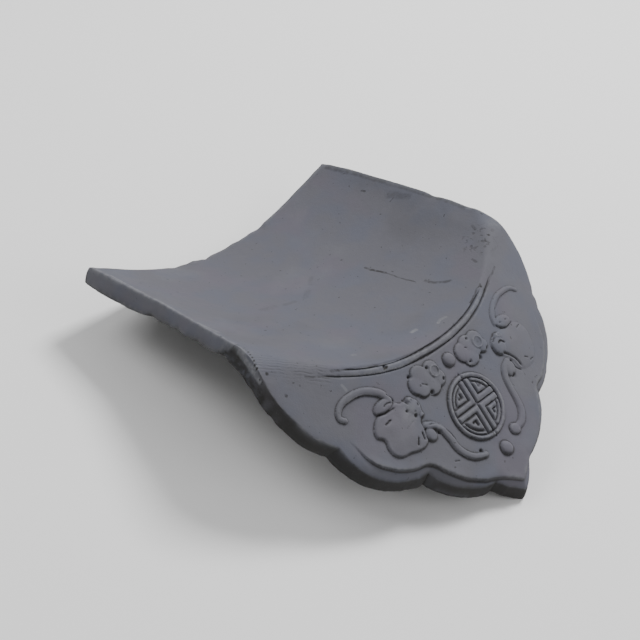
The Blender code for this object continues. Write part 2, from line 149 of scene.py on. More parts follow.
# Where clay was pulled, knocked off or pressed in, in millimetres where the tile stands: the
# points of a line or one spot, its reach and its shift.
KNOCKS = (
    (((-88, 121.5, 35.1),), 60, (-6, 0, 4.5)),
    (((-75, 116, 26), (-45, 113.8, 15.5), (0, 112.3, 8.5), (40, 113.5, 14),
      (60, 115.3, 21.5)), 34, (0, 3.1, 0)),
    (RIGHT_ARRIS, 22, (1.6, -1.3, 0)),
    ((*RIGHT_ARRIS[3:], (7, -117, 9)), 20, (0.9, -0.7, 0)),
    (((5, -117, 9), (0, -121, 4)), 12, (1.7, 0, 0.2)),
    (((-47, -87.5, 19), (-36, -98, 14.5), (-24, -105.5, 11.3), (-19, -108, 10.2)),
     11, (-0.8, -1, -1.4)),
    (((-99.5, -15, 56), (-99.3, -22, 51.5), (-96, -34, 45)), 14, (0.95, 0, 0.6)),
    (((-96.3, 3, 61),), 9, (-0.8, 0, -1)),
    (((-95.5, 121, 32), (-97.2, 99.7, 36.6), (-95.9, 84.2, 40.2), (-95.3, 76, 42)),
     12, (-1, 0, -1)),
    (((88.9, 97.9, 41.9), (90.1, 71, 50.1), (91.5, 45.8, 57.5)), 15, (0.5, 0, 0.5)),
    (((92.6, 10, 68.5), (93.9, 0, 70.5)), 14, (-0.3, 0, -1.1)),
    (((88, 121, 35),), 9, (-0.5, -0.9, -0.6)),
    (((-95.2, 69, 43.2),), 4, (0.9, 0, 1)),
    (((-95, 62, 46),), 7, (-0.3, 0, -0.4)),
    (((-95.2, 47, 50),), 3.5, (0.6, 0, 0.7)),
    (((-96, 40, 51.8),), 4, (-0.3, 0, -0.4)),
    (((-95.9, 31, 54.2),), 3.5, (0.7, 0, 0.8)),
    (((-14, 115, 9.4),), 5, (0, -0.7, -0.6)),
    (((-24, 115, 10.8),), 5, (0, 0.5, 0.6)),
    (((8, 115.5, 8.8),), 6, (0, 0.3, 0.5)),
    (((30, 116, 11.4),), 7, (0, -0.8, -0.5)),
    (((-38, 116, 13.6),), 6, (0, -0.4, -0.4)),
    (((92, 34, 61),), 6, (-0.3, 0, -0.5)),
    (((-98.2, -26.1, 50),), 4, (0.6, 0.2, 0.4)),
    (((86.6, -49.2, 45.4),), 4.5, (-0.8, 0.3, -0.6)),
)

# Marks on the fired clay, among them painted shade and painted highlights along some edges, in
# millimetres
# where the tile stands: the points of a line or one spot, its half width and its strength.
DARK_MARKS_AND_SHADE = (
    (((31.7, 29.8, 37.7), (32.3, 22.9, 39.9), (33.6, 16.7, 42.1)), 0.8, 0.75),
    (((33.6, 16.7, 42.1), (33.7, 7.4, 44.9), (35.5, -3, 48.5)), 0.5, 0.55),
    (((38.8, -7.2, 50.5), (39.2, -11.6, 52), (41.3, -15.4, 53.6), (45, -19, 55.7)), 1.1, 0.5),
    (((80, 79, 41.4), (80.2, 76.4, 42.5)), 0.6, 0.7),
    (((79.5, 55.6, 47.8), (82.1, 56, 49.2)), 0.45, 0.5),
    (((-39, 41.4, 35.7), (-31, 40, 34.5)), 2.2, 0.14),
    (((-24.5, 38, 33.8), (-18, 37, 33.4)), 1.6, 0.16),
    (((-10.3, 36.3, 33.1), (-4, 40, 31.5)), 2, 0.14),
    (((1.9, 44, 30.1), (8, 49, 28.5)), 1.4, 0.14),
    # Painted shade: a dark band along the back arris of the left half.
    (((-88, 119.8, 37), (-68.9, 119, 25.3), (-43.5, 116.6, 14.9), (-20, 115.4, 10)), 0.9, 0.5),
    (((-63.6, -29.7, 63), (-57.1, -32.9, 62.2), (-47.5, -37.7, 61.2), (-39.3, -40.3, 60)), 0.55, 0.7),
    (((-76.7, -25.5, 63.5), (-70, -29.3, 62.3), (-61, -34.3, 60.6)), 0.6, 0.3),
    # Painted shade: the dark wall below the left shoulder by the joint.
    (((-95.6, 6.5, 62), (-96.8, 1, 61.5), (-98.5, -7, 59.5), (-99, -12, 57.5),
      (-98.6, -18, 55)), 2.8, 0.8),
    (((35.5, -39.8, 60), (46.6, -35.5, 61.3), (50.6, -34.8, 61.8)), 0.55, 0.7),
    (((47, -40, 59.2), (58.3, -34.7, 60.8), (68.6, -30.4, 61.8)), 0.7, 0.45),
    (((86.5, 114, 36.5), (88.5, 90, 45), (90, 60, 53.5), (91.5, 30, 62),
      (92, 12, 67)), 1.9, 0.4),
    (((83, 60, 48.5), (86, 48, 53.5)), 2.4, 0.25),
    (((82.5, -1.8, 65.7), (81.2, -5, 66.1)), 0.8, 0.5),
    (((77.5, -17.4, 66.6), (76.2, -14.2, 66)), 0.8, 0.4),
    (((71.1, -11.1, 62.7),), 0.7, 0.6),
    (((63.4, -18.6, 61.7), (62.8, -21.5, 62.3)), 0.9, 0.4),
    (((81.5, -14.5, 68),), 0.8, 0.7),
    (((49.8, -35.7, 61.6),), 0.9, 0.9),
    (((-37.3, -43, 59.8), (-36, -43.3, 59.8)), 1.1, 1),
    (((-90.2, -26.7, 60.6),), 0.8, 0.9),
    (((-81.3, -27, 61.9),), 0.6, 0.6),
    (((-92.4, -14.8, 67.3),), 0.8, 0.8),
    (((-20.6, -108.4, 17.6),), 0.7, 0.5),
)
PALE_MARKS_AND_HIGHLIGHTS = (
    (((1.5, -31.9, 53.8), (-1.5, -31.5, 53.6)), 1.2, 0.8),
    (((13.3, -36.8, 55.8), (16, -36, 55.7), (19.8, -36.8, 56.4)), 0.9, 0.8),
    (((-40.6, -26.2, 56.8), (-42, -25.6, 57)), 1.1, 0.6),
    (((-62.3, -37.7, 58.3), (-61.6, -40.2, 57)), 0.8, 0.5),
    (((-94.2, 3.3, 69.2), (-94.6, 0, 68.8), (-95.1, -4.4, 67.2), (-95.6, -9.3, 66.1),
      (-96.2, -14.4, 64.6)), 1, 0.85),
    # Painted highlight: a light band along the top arris of the left side edge, here and on the next
    # line.
    (((-91, 107.5, 41.7), (-90.3, 92.5, 45.2), (-89.5, 80, 47.5), (-89.3, 64.2, 51.6),
      (-89.8, 51, 55.6)), 0.6, 0.9),
    (((-90.8, 37, 60.2), (-89.8, 31, 61.1), (-88.5, 24.3, 62.1)), 0.9, 0.8),
    (((-42.2, -66.9, 44.9), (-38, -64, 47)), 3.5, 0.30),
)
MARK_FLATTENING = 0.3

# The row of stab marks on the left joint, the pecked shoulder on the right and the scraped
# strip beside the left part of the crease.
STITCHES = (
    (-93.8, 8, 68.3), (-90.6, 6, 68.6), (-91.8, 1, 70.4), (-92.5, -2.8, 70.6),
    (-93.6, -6.2, 70), (-94.9, -9.6, 68.4), (-95.4, -12.5, 66.6), (-95.9, -15.8, 64.9),
)
PECKED = ((76, -12, 66),)
SCRAPES = ((-92, -8.2, 69.8), (-66.7, -29.4, 62.7))

# Lamps: place, what they point at and size, in metres.
LAMPS = {
    "key": ((0.90, 0.15, 1.25), (0.0, 0.0, 0.02), 0.42),
    "back": ((-0.5, 0.9, 1.2), (0.0, 0.0, 0.03), 0.8),
    "fill": ((0.45, -1.3, 0.75), (0.0, 0.0, 0.03), 1.0),
}
FLOOR_SIZE = 6.0
FRAME_WIDTH = 36.0


def number(name, default, description, **settings):
    return bpy.props.FloatProperty(name=name, default=default, description=description, **settings)


def numbers(name, default, description, **settings):
    return bpy.props.FloatVectorProperty(name=name, default=default, description=description, **settings)


def length(name, default, description):
    return number(name, default, description, unit="LENGTH", min=0.0, precision=4)


def colour(name, default, description):
    return numbers(name, default, description, subtype="COLOR", size=3, min=0.0, max=1.0)


class TileSizes(bpy.types.PropertyGroup):
    front_width: length("Front width", 0.190, "Chord of the trough at the crease")
    back_width: length("Back width", 0.176, "Chord of the trough at the back edge")
    front_depth: length("Front depth", 0.0262, "Depth of the trough at the crease")
    back_depth: length("Back depth", 0.0279, "Depth of the trough at the back edge")
    pan_length: length("Pan length", 0.166, "From the crease to the back edge")
    pan_thickness: length("Pan thickness", 0.0094, "Clay thickness of the pan")
    plate_lean: number("Plate lean", math.radians(41.0), "Lean of its face from upright", subtype="ANGLE")
    plate_thickness: length("Plate thickness", 0.010, "Clay thickness of the plate")
    plate_draft: length("Plate draft", 0.0035, "How far the plate's back stands outside its face")
    nose_crisp: length("Crisp nose", 0.0008, "Setback of the nose in the middle")
    nose_broad: length("Broad nose", 0.013, "Setback of the nose at the shoulders")
    heel_fillet: length("Heel fillet", 0.010, "Setback of the hollow behind the nose")
    ground_wear: length("Ground wear", 0.0005, "Depth worn off where the tile stands")
    fine_step: length("Fine step", 0.00043, "Mesh spacing where the relief is busy")


class ClayFinish(bpy.types.PropertyGroup):
    body: colour("Clay", (0.106, 0.1058, 0.1225), "Colour of the flat clay")
    # The rubbed colour is worn clay on arrises and crowns, and also the painted highlights along the left
    # side edge.
    rubbed_and_highlight: colour("Rubbed clay", (0.170, 0.174, 0.188), "Colour of arrises and worn crowns")
    # The sooty colour is dirt in cracks, pits and marks, and also painted shade in recesses, on
    # down-facing walls and along some edges.
    soot_and_shade: colour("Sooty clay", (0.0200, 0.0190, 0.0165), "Colour held in recesses and cracks")
    roughness: number("Roughness", 0.80, "Roughness of the unglazed clay", min=0.0, max=1.0)
    sheen: number("Sheen", 0.20, "Strength of the clay's faint reflection", min=0.0, max=1.0)


class StageSettings(bpy.types.PropertyGroup):
    camera_place: numbers("Camera place", (-0.35698, -0.24222, 0.43458),
                          "Where the photograph was taken from", unit="LENGTH")
    camera_turn: numbers("Camera turn", tuple(math.radians(a) for a in (46.357, -7.789, -45.231)),
                         "Turn of the camera, its slight roll included", subtype="EULER", unit="ROTATION")
    lens: number("Lens", 59.92, "Focal length on a 36 mm frame", min=1.0, unit="CAMERA")
    floor: colour("Floor", (0.90, 0.90, 0.90), "Colour of the pale floor")
    key: number("Key light", 25.0, "Power of the key light", unit="POWER")
    back: number("Back light", 9.0, "Power of the back light", unit="POWER")
    fill: number("Fill light", 6.5, "Power of the fill light", unit="POWER")
    sky: number("Sky", 0.355, "Strength of the surrounding light")


def smooth(t):
    t = np.clip(t, 0.0, 1.0)
    return t * t * (3 - 2 * t)


def flowing(points, step=0.8, closed=False):
    """Even points on a smooth curve through the given ones."""
    points = np.array(points, dtype=float)
    count = len(points)
    path = []
    for i in range(count if closed else count - 1):
        if closed:
            a, b, c, d = (points[(i + k) % count] for k in (-1, 0, 1, 2))
        else:
            b, c = points[i], points[i + 1]
            a = points[i - 1] if i else 2 * b - c
            d = points[i + 2] if i + 2 < count else 2 * c - b
        steps = max(1, round(math.hypot(*(c - b)) / step))
        for t in np.arange(steps) / steps:
            path.append(0.5 * (2 * b + (c - a) * t + (2 * a - 5 * b + 4 * c - d) * t * t
                               + (3 * b - a - 3 * c + d) * t ** 3))
    if not closed:
        path.append(points[-1])
    return np.array(path)


def off(spots, place):
    return np.hypot(*(spots - place).T)


def nearest(spots, path):
    """Distance from each spot to a line of points, and how far along it that is, from 0 to 1."""
    best = np.full(len(spots), np.inf)
    share = np.zeros(len(spots))
    runs = np.concatenate(([0.0], np.cumsum(np.linalg.norm(np.diff(path, axis=0), axis=1))))
    for start, end, low, high in zip(path, path[1:], runs, runs[1:]):
        along = end - start
        t = np.clip((spots - start) @ along / (along @ along), 0, 1)
        gap = np.linalg.norm(spots - start - t[:, None] * along, axis=1)
        nearer = gap < best
        best[nearer] = gap[nearer]
        share[nearer] = (low + (high - low) * t[nearer]) / runs[-1]
    return best, share


def inside(spots, outline):
    """Which spots lie inside a closed outline."""
    within = np.zeros(len(spots), bool)
    x, y = spots.T
    for (x0, y0), (x1, y1) in zip(outline, np.roll(outline, -1, axis=0)):
        if y0 != y1:
            crossed = (y0 > y) != (y1 > y)
            within ^= crossed & (x < (x1 - x0) * (y - y0) / (y1 - y0) + x0)
    return within


class Form:
    """The tile's plain surfaces, in metres, from its driving sizes."""

    def __init__(self, sizes):
        self.sizes = sizes
        self.sin = math.sin(sizes.plate_lean)
        self.cos = math.cos(sizes.plate_lean)

    def sweep(self, across):
        """How far the plate's face lies behind its flat middle."""
        past = (np.abs(across) - SWEEP_START) / SWEEP_BLEND
        return -SWEEP_SLOPE * SWEEP_BLEND * np.logaddexp(0.0, past)

    def on_plate(self, places, out):
        across, up = np.asarray(places).T
        lift = self.sweep(across) + out
        return np.column_stack((across, up * self.sin - lift * self.cos, up * self.cos + lift * self.sin))

    def section(self, y):
        """Half width, depth and radius of the trough at y."""
        sizes = self.sizes
        share = y / sizes.pan_length
        half = (sizes.front_width + (sizes.back_width - sizes.front_width) * share) / 2
        depth = sizes.front_depth + (sizes.back_depth - sizes.front_depth) * share
        return half, depth, (half * half + depth * depth) / (2 * depth)

    def top_edge(self, y):
        return self.section(y)[0]

    def under_edge(self, y):
        """Half width of the underside, whose long edges are cut flat."""
        half, depth, radius = self.section(y)
        middle, _, middle_radius = self.section(self.sizes.pan_length / 2)
        angle = math.asin(middle / middle_radius)
        outer = radius + self.sizes.pan_thickness
        drop = radius - depth
        along = half * math.sin(angle) + drop * math.cos(angle)
        step = -along + np.sqrt(along * along + outer * outer - half * half - drop * drop)
        return half + step * math.sin(angle)

    def face_place(self, point):
        return np.column_stack((point[:, 0], point[:, 1] * self.sin + point[:, 2] * self.cos))


def even(steps):
    return np.linspace(0, 1, steps + 1)


def bow(start, end, rise, shares):
    """Points at shares of an arc from start to end, bowed out to its right."""
    start, end = np.array(start), np.array(end)
    chord = end - start
    reach = math.hypot(*chord)
    side = np.array((chord[1], -chord[0])) / reach
    radius = (reach * reach / 4 + rise * rise) / (2 * rise)
    turns = math.asin(reach / 2 / radius) * (2 * np.asarray(shares) - 1)
    along = (np.sin(turns)[:, None] * radius / reach + 0.5) * chord
    return start + along + side * (np.cos(turns) * radius - radius + rise)[:, None]


def grown(points, out):
    """An outline from the tip up its right side, moved outwards with its corners turned gently."""
    if not out:
        return points
    past = np.repeat(points[-1:], GROWTH_SPAN, axis=0)
    whole = np.vstack((points[GROWTH_SPAN:0:-1] * (-1, 1), points, past))
    along = whole[2 * GROWTH_SPAN:] - whole[:-2 * GROWTH_SPAN]
    along /= np.hypot(*along.T)[:, None]
    moved = points + np.column_stack((along[:, 1], -along[:, 0])) * out
    moved[:, 1] -= out * TIP_REACH * np.exp(-(points[:, 0] / (TIP_SPAN * MM)) ** 2)
    return moved


def half_outline(corner, setback, draft):
    """Right half of the plate's outline, from the tip up to the nose."""
    arcs = [bow(start, end, rise, even(steps))[:-1] for start, end, rise, steps in OUTLINE]
    points = grown(np.vstack(arcs + [[SIDE_CUSP]]) * MM, draft)
    reach = 1 - setback / math.hypot(*(corner - points[-1]))
    shoulder = bow(points[-1], corner, SHOULDER_BOW * MM, even(SHOULDER_STEPS) * reach)
    return np.vstack((points, shoulder[1:]))


class Relief:
    """Heights over spots of the plate's face, all in millimetres."""

    def __init__(self, spots):
        self.spots = spots
        self.height = np.zeros(len(spots))

    def around(self, path, reach):
        """Numbers of the spots near a path, and the spots themselves."""
        low, high = np.min(path, axis=0) - reach, np.max(path, axis=0) + reach
        near = np.flatnonzero(((self.spots > low) & (self.spots < high)).all(axis=1))
        return near, self.spots[near]

    def raise_to(self, near, height):
        self.height[near] = np.maximum(self.height[near], height)

    def bar(self, points, width, height, end=1.0, blunt=0.55):
        """Rounded bar along a line; it narrows to a share of its width at its end."""
        path = flowing(points)
        near, spots = self.around(path, width)
        gap, share = nearest(spots, path)
        across = np.clip(gap / (width / 2 * (1 + (end - 1) * share)), 0, 1)
        self.raise_to(near, height * (1 - across ** 2.4) ** blunt * (1 + 0.5 * (end - 1) * share))

    def boss(self, place, half_sizes, height, turn=0.0, blunt=0.5):
        near, spots = self.around([place], max(half_sizes))
        x, y = (spots - place).T
        cos, sin = math.cos(turn), math.sin(turn)
        far = np.hypot((x * cos + y * sin) / half_sizes[0], (y * cos - x * sin) / half_sizes[1])
        self.raise_to(near, height * (1 - np.clip(far, 0, 1) ** 2.2) ** blunt)

    def ring(self, centre, radius, width, height):
        near, spots = self.around([centre], radius + width)
        gap = np.abs(off(spots, centre) - radius) / (width / 2)
        self.raise_to(near, height * (1 - np.clip(gap, 0, 1) ** 3.0) ** 0.55)

    def slab(self, points, height, crown=0.5, wall=1.3):
        """Low form inside a closed outline, crowned, with soft steep walls."""
        outline = flowing(points, closed=True)
        near, spots = self.around(outline, wall)
        gap, _ = nearest(spots, np.vstack((outline, outline[:1])))
        depth = np.where(inside(spots, outline), gap, 0.0)
        rise = (1 - (1 - np.clip(depth / wall, 0, 1)) ** 2.0) ** 0.6
        self.raise_to(near, height * rise + crown * smooth(depth / 9.0))

    def groove(self, points, width, depth, ends=0.12):
        """Sunk line; it runs out over a share of its length at both ends."""
        path = flowing(points) if len(points) > 2 else np.array(points, dtype=float)
        near, spots = self.around(path, width)
        gap, share = nearest(spots, path)
        fade = np.minimum(1, np.minimum(share, 1 - share) / ends + 0.35)
        self.height[near] -= depth * fade * (1 - smooth(gap / (width / 2)))

    def pit(self, place, size, depth):
        near, spots = self.around([place], size)
        self.height[near] -= depth * (1 - smooth(off(spots, place) / size))

    def cut(self, grooves, pits):
        for groove in grooves:
            self.groove(*groove)
        for pit in pits:
            self.pit(*pit)


# Ornament, in millimetres across and up the plate's face.
PEARLS = (((0.5, -12.7), (3.8, 3.8)), ((2.0, -67.0), (3.5, 3.9)))
PEARL_RISE = 2.3
ROUNDEL = (0.0, -40.5)
RING = (16.9, 2.3, 1.5)
FRET = (1.0, -39.6)
FRET_REACH = 15.8
# Lines sunk beside the fret's middle one: how far off, and from where to where they run.
FRET_LINES = ((3.9, 3.9, np.inf), (7.0, 7.0, 9.0))
FRET_ARC = 13.3
FRET_QUARTER = 3.4
FRET_RISE = 1.25
# Bead under the crease: where it ends, half width, rise and the share that runs out; and the
# two sunk lines: where each ends and its depth, then their half width and share that runs out.
BEAD = (-64, 56, 2.2, 0.55, 0.16)
CREASE_LINES = ((-61, 52, 1.45), (-73, 64, 1.25))
CREASE_WIDTH = 0.80
CREASE_FADE = 0.11
# The rim's ridge: rise and half width; the step outside it: drop, width, how far it stays and
# over how much it then runs out; and the share of the line that runs out at both ends.
RIM_RIDGE = (0.5, 2.2)
RIM_STEP = (1.15, 0.6, 6.5, 3.0)
RIM_FADE = 0.13
RIM_LINE = (
    (0, -85.2), (5, -80.8), (13.6, -76), (19, -73.7), (25, -70), (29, -67.1),
    (33, -63), (37, -58.2), (40, -53.8), (42, -51.2), (45.5, -49.2), (50, -48.3),
    (55, -46.4), (60, -43.5), (64.4, -39.5), (68.2, -35.2), (71.2, -29), (73, -22),
    (75.5, -14),
)
LEFT_WING = (
    (-54, -15.8), (-48, -16.2), (-43.5, -14.5), (-40.5, -16.5), (-36.5, -16.8), (-32.5, -19),
    (-31, -22.5), (-32, -27.5), (-35.5, -30.5), (-36, -34), (-37.3, -38), (-38, -40.5),
    (-41.5, -42), (-45.5, -41.6), (-50, -40.2), (-55, -39.4), (-58.2, -36.5), (-59.3, -32),
    (-58.6, -27.6), (-61.4, -24.6), (-61, -21), (-57.8, -17.4),
)
RIGHT_WING = (
    (43.5, -15.6), (49, -16.6), (55, -16), (60, -18.5), (62.5, -23.5), (61.5, -29), (59, -34.5),
    (55, -38.5), (50, -40.3), (44, -40.2), (41, -38.2), (40, -34), (38.5, -30.5), (35.5, -28.4),
    (32, -24.8), (31, -19.5), (34, -16.6), (38.5, -15.6),
)


def draw_crease(relief, nose):
    """Half-round bead under the crease, between two fine sunk lines, lower at the left."""
    across, up = nose.T
    left = (np.minimum(across, 0) / 60) ** 2
    upper, lower = up - (1.0 + 1.3 * left), up - (4.8 + 1.1 * left)

    def run(height, low, high):
        return np.column_stack((across, height))[(across > low) & (across < high)]

    low, high, width, rise, fade = BEAD
    path = run((upper + lower) / 2, low, high)
    near, spots = relief.around(path, 3.0)
    gap, share = nearest(spots, path)
    bead = rise * smooth(np.minimum(share, 1 - share) / fade)
    relief.raise_to(near, bead * (1 - np.clip(gap / width, 0, 1) ** 2.4) ** 0.7)
    for height, (low, high, depth) in zip((upper, lower), CREASE_LINES):
        path = run(height, low, high)
        near, spots = relief.around(path, 1.2)
        gap, share = nearest(spots, path)
        fade = smooth(np.minimum(share, 1 - share) / CREASE_FADE)
        relief.height[near] -= depth * fade * (1 - smooth(gap / CREASE_WIDTH))


def draw_blossom(relief, petals, notches, button, mark):
    """Flat blossom of rounded petals with a ringed button beside its middle."""
    for place, radius in petals:
        relief.boss(place, (radius, radius), 1.75, blunt=0.32)
    for place, size in notches:
        relief.pit(place, size, 1.3)
    relief.groove(mark, 1.0, 0.5)
    place, radius = button
    relief.boss(place, (radius + 0.8, radius + 0.8), 1.6, blunt=0.4)
    relief.ring(place, radius - 0.6, 1.5, 2.25)
    relief.pit(place, radius - 1.1, 0.4)


def draw_roundel(relief):
    """Ring round a key fret: a cross of double bars and a hook in each quarter."""
    relief.ring(ROUNDEL, *RING)
    near, spots = relief.around([FRET], 17.5)
    kept = off(spots, ROUNDEL) < FRET_REACH
    near, spots = near[kept], spots[kept]
    reach = off(spots, ROUNDEL)
    side, tall = np.abs(spots - FRET).T
    line = np.minimum(side, tall)
    line = np.where(line > FRET_QUARTER, np.minimum(line, np.abs(reach - FRET_ARC)), line)
    for low, high in ((side, tall), (tall, side)):
        for place, start, end in FRET_LINES:
            past = np.clip(start - high, 0, None) + np.clip(high - end, 0, None)
            line = np.minimum(line, np.hypot(low - place, past))
    line = np.minimum(line, FRET_REACH - 0.1 - reach)
    relief.raise_to(near, FRET_RISE * (0.02 + 0.98 * smooth((line - 0.32) / 0.75)))
    relief.groove(((1.0, -21.6), (1.0, -26.0)), 1.7, 1.0)
    relief.groove(((1.0, -54.5), (1.2, -59.3)), 1.7, 1.0)


def draw_left_bat(relief):
    relief.slab(LEFT_WING, 1.25, crown=0.8, wall=1.5)
    relief.boss((-49.5, -13.2), (6.2, 3.4), 1.7, turn=0.1, blunt=0.4)
    relief.bar(((-44.8, -12), (-46.2, -8), (-49.8, -4.2), (-55, -1.2), (-61, 0), (-67, -0.4),
                (-71.2, -2.6), (-73, -6), (-71, -8.6)), 4.3, 1.4, end=0.62)
    relief.bar(((-34.5, -33), (-30.2, -35.4), (-27, -39.6), (-25.6, -45.6), (-25, -51),
                (-22.4, -56.6), (-17.8, -61), (-11.6, -63.2)), 4.3, 1.6, end=0.85)
    relief.boss((-34.4, -38.4), (3.1, 4.1), 1.7, turn=0.2, blunt=0.45)
    relief.boss((-36, -22.2), (5.4, 5.2), 2.35, blunt=0.45)
    relief.boss((-35.2, -18), (2.4, 1.9), 2.5, turn=-0.5)
    relief.boss((-33.6, -27.4), (2.2, 1.9), 2.1, turn=0.4)
    relief.cut((
        (((-54.5, -15.6), (-50.5, -16.7), (-44.8, -16.9)), 1.3, 0.9),
        (((-50, -13.4), (-47.5, -12.9), (-44.8, -13.8)), 1.1, 0.7),
        (((-54.5, -21.4), (-50.2, -20.8)), 1.3, 0.8),
        (((-44.8, -8.6), (-43, -11.5), (-42.6, -14)), 1.2, 0.9),
        (((-38.2, -15.8), (-37.6, -19.4)), 1.2, 0.6),
        (((-44.5, -38.8), (-42.2, -35.6)), 1.5, 0.8),
        (((-39.4, -38.5), (-38.6, -34.6)), 1.5, 0.9),
        (((-45.8, -28.8), (-39.5, -27.3)), 0.8, 0.25),
        (((-33.2, -33.4), (-29, -34.8), (-26.2, -38), (-24, -43), (-23, -47.6)), 1.3, 0.75),
        (((-30.4, -56.2), (-27.4, -57.6)), 1.2, 0.5),
    ), (
        ((-40.2, -21.8), 1.2, 0.9), ((-32, -22.1), 1.3, 1.1), ((-37, -26.2), 1.3, 1),
        ((-33.5, -28.8), 0.9, 0.8), ((-34.8, -18.2), 1.1, 0.8), ((-36.3, -24), 0.9, 0.5),
        ((-12.8, -60.6), 1.7, 1.3), ((-29.2, -40), 1.6, 0.8),
    ))


def draw_right_bat(relief):
    relief.slab(RIGHT_WING, 0.9, crown=0.7, wall=4.6)
    relief.boss((48.8, -12.6), (6.8, 3.7), 1.45, turn=-0.1, blunt=0.45)
    relief.bar(((43.2, -11), (44.6, -7), (49.5, -2.8), (56, 0.2), (63, 1), (69.5, 0.3),
                (73.5, -2.4)), 4.2, 1, end=0.6, blunt=0.8)
    relief.bar(((35, -31.8), (30.5, -34), (27.8, -38.5), (26.9, -44.5), (26.2, -50), (24.2, -56),
                (19.8, -60.6), (14.6, -61.8)), 4.6, 1.3, end=0.8, blunt=0.8)
    relief.boss((13.4, -61.8), (3.1, 3), 1.7, blunt=0.4)
    relief.boss((34.2, -35), (4, 4.6), 1.6, turn=-0.3, blunt=0.45)
    relief.boss((36.2, -21.8), (5.2, 5.8), 2.2, turn=-0.3, blunt=0.42)
    relief.boss((39, -17.4), (3.4, 2), 2.1, turn=-0.3)
    relief.cut((
        (((42.2, -12), (44.8, -14.9), (49.5, -16.3), (55.8, -15.6)), 1.3, 0.75),
        (((45.6, -12), (46.8, -12.4)), 1.4, 0.5),
        (((50.4, -12.3), (52.2, -12.7)), 1.4, 0.5),
        (((55.5, -19.9), (60, -19.3)), 1.3, 0.7),
        (((35.6, -20.9), (38, -20.4), (40.8, -22.4)), 1.5, 1),
        (((33, -18.6), (35.8, -17.2)), 1.4, 0.8),
        (((38.4, -16.4), (41.2, -17.6)), 1.2, 0.7),
        (((35.6, -26.4), (38.6, -28.6), (41.2, -31.6), (42.6, -34.8), (42.9, -38.2)), 1.7, 0.9),
        (((38.4, -31.4), (38.9, -36.6), (41.4, -39.9)), 1.3, 0.7),
        (((48, -34.8), (50.4, -36.4)), 1.3, 0.6),
        (((51, -38.2), (54.2, -38)), 1.2, 0.6),
        (((36, -32.2), (39.5, -32.8)), 1.2, 0.5),
    ), (
        ((34.2, -39.6), 2.3, 1.2), ((49.3, -4.8), 1.2, 0.6), ((49.6, 10.4), 1.2, 0.7),
    ))


def draw_rim(relief, outline):
    """Soft ridge that follows the outline, stepped down to a rounded lip outside it."""
    right = flowing(RIM_LINE, step=1.5)
    line = np.vstack((right[:0:-1] * (-1, 1), right))
    gap, share = nearest(relief.spots, line)
    lip = ~inside(relief.spots, np.vstack((line, ((60, 60), (-60, 60)))))
    strength = smooth(np.minimum(share, 1 - share) / RIM_FADE)
    rise, width = RIM_RIDGE
    ridge = rise * np.exp(-(gap / width) ** 2)
    drop, width, stay, run = RIM_STEP
    down = smooth(gap / width)
    step = -drop * down * np.exp(-np.clip(gap - stay, 0, None) / run)
    edge, _ = nearest(relief.spots, np.vstack((outline, outline[:1])))
    relief.height += strength * np.where(lip, ridge * (1 - down) + step, ridge)
    shoulder = 0.15 + 0.85 * smooth((LIP_TOP - relief.spots[:, 1]) / LIP_REACH)
    relief.height -= LIP_FALL * shoulder * (1 - np.clip(edge / LIP_ROUND, 0, 1)) ** 2.2


def draw_plate(spots, outline, nose):
    """All of the plate's relief over spots given in millimetres."""
    relief = Relief(spots)
    for place, half_sizes in PEARLS:
        relief.boss(place, half_sizes, PEARL_RISE, blunt=0.5)
    draw_roundel(relief)
    draw_blossom(
        relief,
        (((-25.4, -14.2), 5.6), ((-21.6, -10.6), 5.4), ((-24.0, -17.4), 4.6), ((-17.4, -18.6), 5.4),
         ((-11.8, -17.0), 4.8), ((-13.0, -11.6), 5.0), ((-18.5, -14.5), 5.0)),
        (((-27.4, -8.4), 1.7), ((-15.4, -9.6), 1.5), ((-20.4, -21.6), 1.8), ((-9.4, -19.2), 1.4)),
        ((-12.2, -13.0), 3.5), ((-23.8, -14.6), (-20.8, -17.0)))
    draw_blossom(
        relief,
        (((11.2, -13.6), 5.2), ((14.4, -17.6), 5.2), ((16.2, -11.6), 5.2), ((22.6, -12.6), 6.0),
         ((25.4, -16.4), 4.2), ((18.4, -15.8), 5.0), ((15.6, -18.4), 4.6)),
        (((12.0, -19.8), 1.5), ((20.4, -21.4), 1.9), ((17.8, -8.8), 1.5), ((27.4, -19.6), 1.5)),
        ((23.0, -13.4), 3.7), ((13.0, -12.0), (14.5, -13.0)))
    draw_left_bat(relief)
    draw_right_bat(relief)
    draw_crease(relief, nose)
    relief.pit((-36.4, 2.9), 1.6, 2.0)
    draw_rim(relief, outline)
    return relief.height


